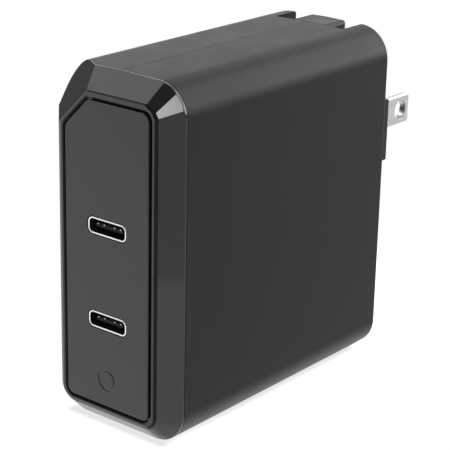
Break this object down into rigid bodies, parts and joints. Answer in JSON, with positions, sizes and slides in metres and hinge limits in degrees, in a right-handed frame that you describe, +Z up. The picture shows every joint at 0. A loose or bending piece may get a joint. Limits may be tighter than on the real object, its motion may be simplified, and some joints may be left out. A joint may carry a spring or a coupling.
{
  "type": "usb wall charger",
  "caption": "Compact black wall charger with stacked USB-C sockets in a faceted gloss bezel, a matte rounded body and a plug whose flat blades fold up into the back.",
  "frame": {"origin": "centre of the base: mid-width, and mid-length from the front lip to the unfolded blades' tips, at the height of the surface it stands on", "axes": "+Z up, -Y out of the sockets, +Y towards the wall along the unfolded blades, +X to the right seen from the front"},
  "size_m": [0.0306, 0.0856, 0.0685],
  "materials": {
    "shell_plastic": "fine matte moulded texture, black polycarbonate",
    "bezel_plastic": "polished black plastic",
    "panel_plastic": "satin charcoal plastic",
    "emblem_plastic": "polished black inlay",
    "plug_plastic": "matte black flame-retardant plastic",
    "usb_steel": "bright nickel plated steel",
    "usb_tongue": "black moulded socket insulator",
    "contact_gold": "gold plated contacts",
    "blade_nickel": "nickel plated blade, fine rolled finish",
    "spring_bronze": "phosphor bronze strip",
    "spring_steel": "spring steel strip",
    "board_laminate": "green solder-masked laminate",
    "can_aluminium": "capacitor cans",
    "ferrite": "dark grey sintered ferrite",
    "coil_tape": "yellow polyester tape over copper wire",
    "copper_wire": "enamelled copper wire",
    "film_cap": "yellow film capacitor case",
    "epoxy_black": "moulded epoxy",
    "disc_blue": "blue lacquered ceramic disc",
    "wire_white": "white wire insulation",
    "wire_black": "black wire insulation",
    "spreader_aluminium": "plain rolled sheet",
    "pad_silicone": "soft grey-blue thermal pad",
    "sheet_insulation": "amber insulating film"
  },
  "bodies": {
    "charger": {"left_shell": "shell_plastic", "right_shell": "shell_plastic", "front_bezel": "bezel_plastic", "front_panel": "panel_plastic", "emblem_ring": "emblem_plastic", "usb_shell_upper": "usb_steel", "usb_shell_lower": "usb_steel", "usb_insulator_upper": "usb_tongue", "usb_insulator_lower": "usb_tongue", "usb_contacts_upper": "contact_gold", "usb_contacts_lower": "contact_gold", "plug_block": "plug_plastic", "rotor_clamp": "plug_plastic", "detent_spring": "spring_steel", "contact_spring_left": "spring_bronze", "contact_spring_right": "spring_bronze", "lead_wire_left": "wire_white", "lead_wire_right": "wire_black", "main_board": "board_laminate", "port_board": "board_laminate", "bulk_capacitors": "can_aluminium", "output_capacitors": "can_aluminium", "port_capacitors": "can_aluminium", "transformer_core": "ferrite", "choke_core": "ferrite", "transformer_coil": "coil_tape", "choke_windings": "copper_wire", "x_capacitor": "film_cap", "bridge_rectifier": "epoxy_black", "power_switch": "epoxy_black", "output_inductor": "ferrite", "fuse": "epoxy_black", "y_capacitor": "disc_blue", "board_header": "epoxy_black", "port_controllers": "epoxy_black", "heat_spreader": "spreader_aluminium", "thermal_pad": "pad_silicone", "insulation_sheet": "sheet_insulation"},
    "plug": {"plug_rotor": "plug_plastic", "blade_left": "blade_nickel", "blade_right": "blade_nickel"}
  },
  "joints": [
    {"name": "plug_fold", "type": "hinge", "parent": "charger", "child": "plug", "pos_m": [0.0004, 0.0203, 0.0455], "axis": [1, 0, 0], "range_deg": [0, 90]}
  ]
}
